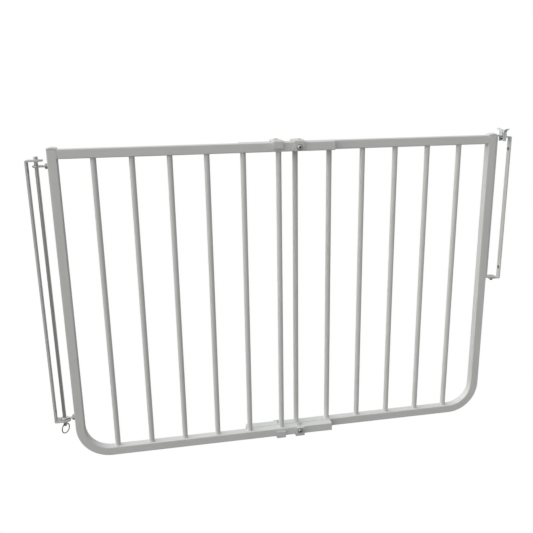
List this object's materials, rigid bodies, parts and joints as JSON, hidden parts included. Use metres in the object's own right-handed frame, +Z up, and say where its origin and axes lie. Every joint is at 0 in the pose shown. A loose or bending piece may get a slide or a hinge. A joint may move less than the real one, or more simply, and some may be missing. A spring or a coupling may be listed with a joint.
{
  "type": "adjustable stairway gate",
  "caption": "White metal stairway gate with round bars and sliding halves that set its width, a lift-and-swing hinge rod in a wall bracket, and a pinch latch on the latch-side bracket.",
  "frame": {"origin": "middle of the hinge bracket's two screw holes, on its wall face, at the middle of the hinge-side half's thickness", "axes": "+Z up, +X from the hinge wall towards the latch wall, +Y away from the front half"},
  "size_m": [1.1467, 0.0647, 0.7673],
  "materials": {
    "powder_coat": "powder-coated satin",
    "bracket_coat": "powder-coated satin",
    "cap_plastic": "moulded, fine matte",
    "latch_plastic": "moulded nylon",
    "zinc_steel": "zinc-plated",
    "spring_steel": "drawn wire"
  },
  "bodies": {
    "wall": {"hinge_wall_bracket": "bracket_coat", "latch_wall_bracket": "bracket_coat"},
    "hinge_rod": {"hinge_rod": "zinc_steel"},
    "pull_ring": {"retaining_ring": "spring_steel"},
    "left_half": {"baluster_left_1": "powder_coat", "baluster_left_2": "powder_coat", "baluster_left_3": "powder_coat", "baluster_left_4": "powder_coat", "baluster_left_5": "powder_coat", "baluster_left_6": "powder_coat", "clamp_screw_left_bottom": "zinc_steel", "clamp_screw_left_top": "zinc_steel", "clamp_washer_left_bottom": "zinc_steel", "clamp_washer_left_top": "zinc_steel", "eye_bolt_lower": "zinc_steel", "eye_bolt_upper": "zinc_steel", "eye_nut_lower": "zinc_steel", "eye_nut_upper": "zinc_steel", "frame_tube_left": "powder_coat", "joiner_bolt_left_bottom": "zinc_steel", "joiner_bolt_left_top": "zinc_steel", "joiner_left_bottom": "bracket_coat", "joiner_left_top": "bracket_coat", "joiner_nut_left_bottom": "zinc_steel", "joiner_nut_left_top": "zinc_steel", "rail_cap_left_bottom": "cap_plastic", "rail_cap_left_top": "cap_plastic", "stile_cap_left": "cap_plastic", "top_rail_left": "powder_coat"},
    "right_half": {"baluster_right_1": "powder_coat", "baluster_right_2": "powder_coat", "baluster_right_3": "powder_coat", "baluster_right_4": "powder_coat", "baluster_right_5": "powder_coat", "baluster_right_6": "powder_coat", "clamp_screw_right_bottom": "zinc_steel", "clamp_screw_right_top": "zinc_steel", "clamp_washer_right_bottom": "zinc_steel", "clamp_washer_right_top": "zinc_steel", "frame_tube_right": "powder_coat", "joiner_bolt_right_bottom": "zinc_steel", "joiner_bolt_right_top": "zinc_steel", "joiner_nut_right_bottom": "zinc_steel", "joiner_nut_right_top": "zinc_steel", "joiner_right_bottom": "bracket_coat", "joiner_right_top": "bracket_coat", "rail_cap_right_bottom": "cap_plastic", "rail_cap_right_top": "cap_plastic", "stile_cap_right": "cap_plastic", "top_rail_right": "powder_coat", "latch_strip": "bracket_coat", "strip_screw_lower": "zinc_steel", "strip_screw_upper": "zinc_steel", "latch_pin_lower": "zinc_steel", "latch_pin_upper": "zinc_steel", "latch_carrier": "latch_plastic", "latch_pivot": "zinc_steel", "latch_spring": "spring_steel"},
    "front_lever": {"lever_front": "latch_plastic"},
    "back_lever": {"lever_back": "latch_plastic"}
  },
  "joints": [
    {"name": "gate_swing", "type": "hinge", "parent": "wall", "child": "hinge_rod", "pos_m": [0.022, 0, 0], "axis": [0, 0, 1], "range_deg": [-90, 80]},
    {"name": "gate_lift", "type": "slide", "parent": "hinge_rod", "child": "left_half", "axis": [0, 0, 1], "range_m": [0, 0.0077]},
    {"name": "width_slide", "type": "slide", "parent": "left_half", "child": "right_half", "axis": [1, 0, 0], "range_m": [-0.39, 0]},
    {"name": "front_lever_pinch", "type": "hinge", "parent": "right_half", "child": "front_lever", "pos_m": [1.1255, 0.022, 0.3367], "axis": [-1, 0, 0], "range_deg": [0, 18], "stiffness_Nm_per_rad": 0.4, "springref_deg": -20.05},
    {"name": "back_lever_pinch", "type": "hinge", "parent": "right_half", "child": "back_lever", "pos_m": [1.1255, 0.022, 0.3367], "axis": [1, 0, 0], "range_deg": [0, 18], "stiffness_Nm_per_rad": 0.4, "springref_deg": -20.05},
    {"name": "ring_swing", "type": "hinge", "parent": "hinge_rod", "child": "pull_ring", "pos_m": [0.022, 0, -0.3205], "axis": [0.6018, 0.7986, 0], "range_deg": [-85, 85]}
  ]
}
